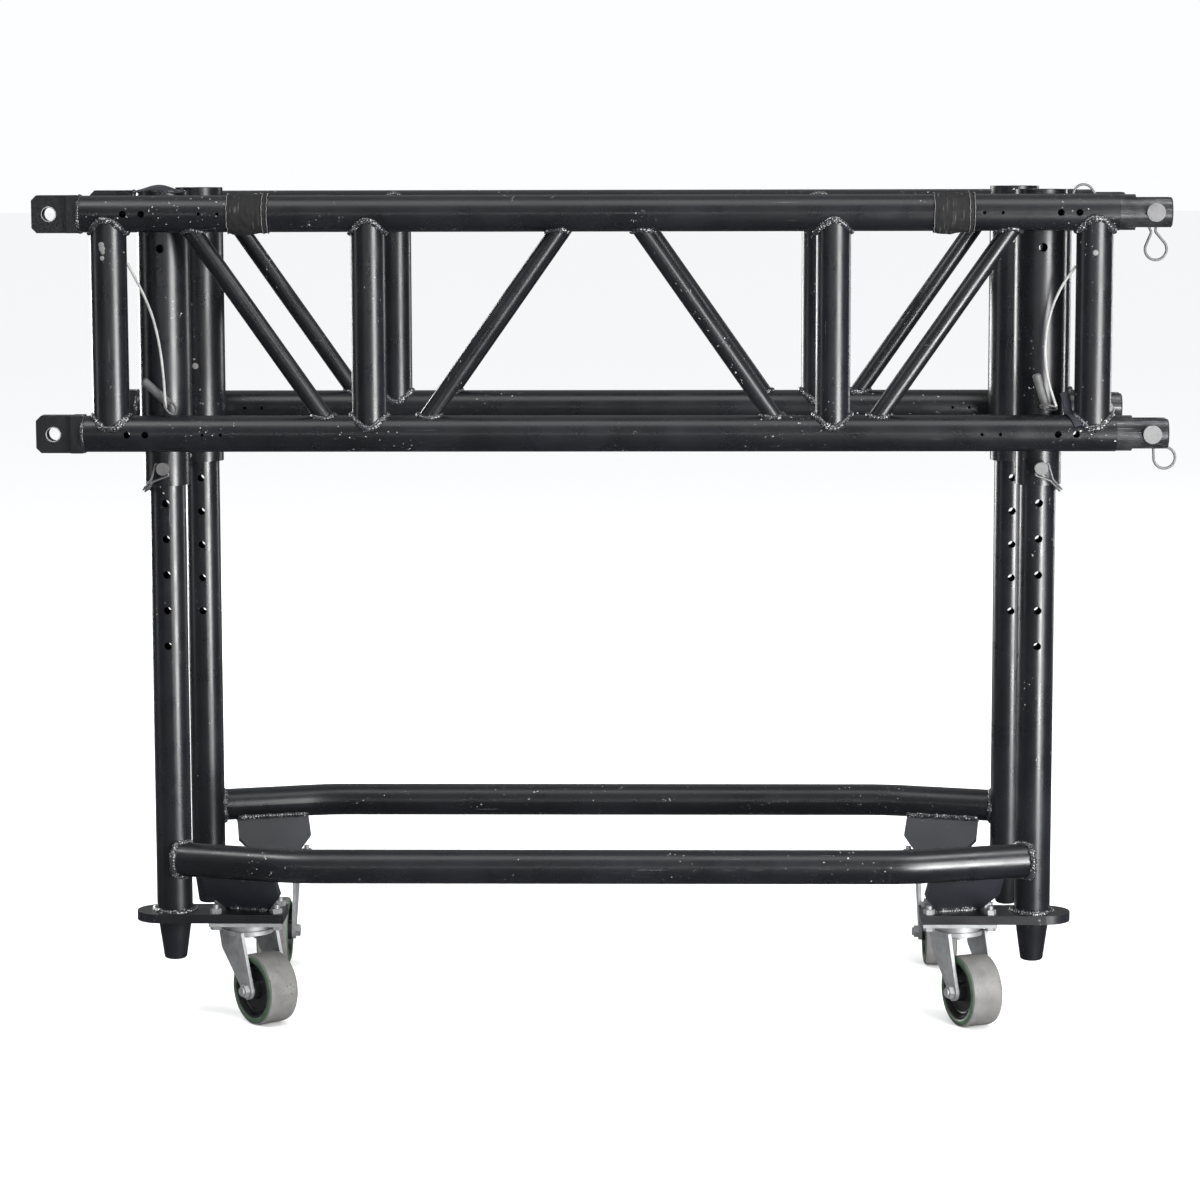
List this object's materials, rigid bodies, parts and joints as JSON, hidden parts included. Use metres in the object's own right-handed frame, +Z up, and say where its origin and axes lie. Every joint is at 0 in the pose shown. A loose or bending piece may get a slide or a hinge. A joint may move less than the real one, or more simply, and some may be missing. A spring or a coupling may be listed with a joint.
{
  "type": "wheeled pre-rig truss section",
  "caption": "Black box truss section of round tube on two height-adjustable wheeled leg frames, with male blades at one end and pinned female forks at the other.",
  "frame": {"origin": "on the floor under the middle of the whole object", "axes": "+X along the truss towards its forks, +Y to the rear, +Z up"},
  "size_m": [1.59, 0.5698, 1.1864],
  "materials": {
    "black_paint": "satin",
    "dark_metal": "satin",
    "zinc": "satin",
    "grey_metal": "satin",
    "tread": "matte",
    "wheel_core": "gloss",
    "cloth_tape": "matte",
    "coated_wire": "satin"
  },
  "bodies": {
    "truss": {"front_top_chord": "black_paint", "front_bottom_chord": "black_paint", "rear_top_chord": "black_paint", "rear_bottom_chord": "black_paint", "ladder_posts": "black_paint", "ladder_braces": "black_paint", "top_cross_tubes": "black_paint", "front_blades": "black_paint", "front_forks": "dark_metal", "front_leg_sockets": "black_paint", "rear_blades": "black_paint", "rear_forks": "dark_metal", "rear_leg_sockets": "black_paint", "tape_bands": "cloth_tape", "left_lanyard": "coated_wire", "left_stored_pin": "grey_metal", "right_lanyard": "coated_wire", "right_stored_pin": "grey_metal"},
    "front_leg_frame": {"front_legs": "black_paint", "front_rail": "black_paint", "front_gussets": "black_paint", "front_caster_plates": "black_paint", "front_cone_feet": "black_paint", "front_caster_tops": "zinc", "front_caster_bolts": "zinc"},
    "front_left_caster": {"front_left_caster_yoke": "zinc"},
    "front_left_wheel": {"front_left_wheel_tread": "tread", "front_left_wheel_core": "wheel_core"},
    "front_left_lock_pin": {"front_left_lock_pin": "zinc"},
    "front_left_lock_bail": {"front_left_lock_bail": "zinc"},
    "front_right_caster": {"front_right_caster_yoke": "zinc"},
    "front_right_wheel": {"front_right_wheel_tread": "tread", "front_right_wheel_core": "wheel_core"},
    "front_right_lock_pin": {"front_right_lock_pin": "zinc"},
    "front_right_lock_bail": {"front_right_lock_bail": "zinc"},
    "front_top_fork_pin": {"front_top_fork_pin": "zinc"},
    "front_top_clip": {"front_top_clip": "zinc"},
    "front_bottom_fork_pin": {"front_bottom_fork_pin": "zinc"},
    "front_bottom_clip": {"front_bottom_clip": "zinc"},
    "rear_leg_frame": {"rear_legs": "black_paint", "rear_rail": "black_paint", "rear_gussets": "black_paint", "rear_caster_plates": "black_paint", "rear_cone_feet": "black_paint", "rear_caster_tops": "zinc", "rear_caster_bolts": "zinc"},
    "rear_left_caster": {"rear_left_caster_yoke": "zinc"},
    "rear_left_wheel": {"rear_left_wheel_tread": "tread", "rear_left_wheel_core": "wheel_core"},
    "rear_left_lock_pin": {"rear_left_lock_pin": "zinc"},
    "rear_left_lock_bail": {"rear_left_lock_bail": "zinc"},
    "rear_right_caster": {"rear_right_caster_yoke": "zinc"},
    "rear_right_wheel": {"rear_right_wheel_tread": "tread", "rear_right_wheel_core": "wheel_core"},
    "rear_right_lock_pin": {"rear_right_lock_pin": "zinc"},
    "rear_right_lock_bail": {"rear_right_lock_bail": "zinc"},
    "rear_top_fork_pin": {"rear_top_fork_pin": "zinc"},
    "rear_top_clip": {"rear_top_clip": "zinc"},
    "rear_bottom_fork_pin": {"rear_bottom_fork_pin": "zinc"},
    "rear_bottom_clip": {"rear_bottom_clip": "zinc"}
  },
  "joints": [
    {"name": "front_frame_height", "type": "slide", "parent": "truss", "child": "front_leg_frame", "axis": [0, 0, 1], "range_m": [-0.0508, 0.254]},
    {"name": "front_left_swivel", "type": "hinge", "parent": "front_leg_frame", "child": "front_left_caster", "pos_m": [-0.51798, -0.192, 0.125], "axis": [0, 0, 1], "continuous": true},
    {"name": "front_left_roll", "type": "hinge", "parent": "front_left_caster", "child": "front_left_wheel", "pos_m": [-0.49098, -0.22417, 0.0508], "axis": [0.766, 0.6428, 0], "continuous": true},
    {"name": "front_left_lock", "type": "slide", "parent": "truss", "child": "front_left_lock_pin", "axis": [0, 1, 0], "range_m": [0, 0.009]},
    {"name": "front_left_bail_swing", "type": "hinge", "parent": "front_left_lock_pin", "child": "front_left_lock_bail", "pos_m": [-0.62298, -0.2382, 0.7964], "axis": [-0.7331, 0, 0.6801], "range_deg": [0, 110]},
    {"name": "front_right_swivel", "type": "hinge", "parent": "front_leg_frame", "child": "front_right_caster", "pos_m": [0.50002, -0.192, 0.125], "axis": [0, 0, 1], "continuous": true},
    {"name": "front_right_roll", "type": "hinge", "parent": "front_right_caster", "child": "front_right_wheel", "pos_m": [0.5171, -0.23037, 0.0508], "axis": [0.9135, 0.4067, 0], "continuous": true},
    {"name": "front_right_lock", "type": "slide", "parent": "truss", "child": "front_right_lock_pin", "axis": [0, 1, 0], "range_m": [0, 0.009]},
    {"name": "front_right_bail_swing", "type": "hinge", "parent": "front_right_lock_pin", "child": "front_right_lock_bail", "pos_m": [0.60502, -0.2382, 0.7964], "axis": [-0.7331, 0, -0.6801], "range_deg": [0, 110]},
    {"name": "front_top_pin_turn", "type": "hinge", "parent": "truss", "child": "front_top_fork_pin", "pos_m": [0.75302, -0.254, 1.152], "axis": [0, 1, 0], "continuous": true},
    {"name": "front_top_clip_swing", "type": "hinge", "parent": "front_top_fork_pin", "child": "front_top_clip", "pos_m": [0.75302, -0.2211, 1.152], "axis": [0.9877, 0, 0.1564], "range_deg": [0, 60]},
    {"name": "front_bottom_pin_turn", "type": "hinge", "parent": "truss", "child": "front_bottom_fork_pin", "pos_m": [0.75302, -0.254, 0.8472], "axis": [0, 1, 0], "continuous": true},
    {"name": "front_bottom_clip_swing", "type": "hinge", "parent": "front_bottom_fork_pin", "child": "front_bottom_clip", "pos_m": [0.75302, -0.2211, 0.8472], "axis": [0.829, 0, 0.5592], "range_deg": [0, 35]},
    {"name": "rear_frame_height", "type": "slide", "parent": "truss", "child": "rear_leg_frame", "axis": [0, 0, 1], "range_m": [-0.0508, 0.254]},
    {"name": "rear_left_swivel", "type": "hinge", "parent": "rear_leg_frame", "child": "rear_left_caster", "pos_m": [-0.51798, 0.192, 0.125], "axis": [0, 0, 1], "continuous": true},
    {"name": "rear_left_roll", "type": "hinge", "parent": "rear_left_caster", "child": "rear_left_wheel", "pos_m": [-0.51798, 0.15, 0.0508], "axis": [1, 0, 0], "continuous": true},
    {"name": "rear_left_lock", "type": "slide", "parent": "truss", "child": "rear_left_lock_pin", "axis": [0, -1, 0], "range_m": [0, 0.009]},
    {"name": "rear_left_bail_swing", "type": "hinge", "parent": "rear_left_lock_pin", "child": "rear_left_lock_bail", "pos_m": [-0.62298, 0.2382, 0.7964], "axis": [0.7331, 0, -0.6801], "range_deg": [0, 110]},
    {"name": "rear_right_swivel", "type": "hinge", "parent": "rear_leg_frame", "child": "rear_right_caster", "pos_m": [0.50002, 0.192, 0.125], "axis": [0, 0, 1], "continuous": true},
    {"name": "rear_right_roll", "type": "hinge", "parent": "rear_right_caster", "child": "rear_right_wheel", "pos_m": [0.50002, 0.15, 0.0508], "axis": [1, 0, 0], "continuous": true},
    {"name": "rear_right_lock", "type": "slide", "parent": "truss", "child": "rear_right_lock_pin", "axis": [0, -1, 0], "range_m": [0, 0.009]},
    {"name": "rear_right_bail_swing", "type": "hinge", "parent": "rear_right_lock_pin", "child": "rear_right_lock_bail", "pos_m": [0.60502, 0.2382, 0.7964], "axis": [0.7331, 0, 0.6801], "range_deg": [0, 110]},
    {"name": "rear_top_pin_turn", "type": "hinge", "parent": "truss", "child": "rear_top_fork_pin", "pos_m": [0.75302, 0.254, 1.152], "axis": [0, 1, 0], "continuous": true},
    {"name": "rear_top_clip_swing", "type": "hinge", "parent": "rear_top_fork_pin", "child": "rear_top_clip", "pos_m": [0.75302, 0.2211, 1.152], "axis": [0.3907, 0, 0.9205], "range_deg": [0, 35]},
    {"name": "rear_bottom_pin_turn", "type": "hinge", "parent": "truss", "child": "rear_bottom_fork_pin", "pos_m": [0.75302, 0.254, 0.8472], "axis": [0, 1, 0], "continuous": true},
    {"name": "rear_bottom_clip_swing", "type": "hinge", "parent": "rear_bottom_fork_pin", "child": "rear_bottom_clip", "pos_m": [0.75302, 0.2211, 0.8472], "axis": [-1, 0, 0], "range_deg": [0, 35]}
  ]
}
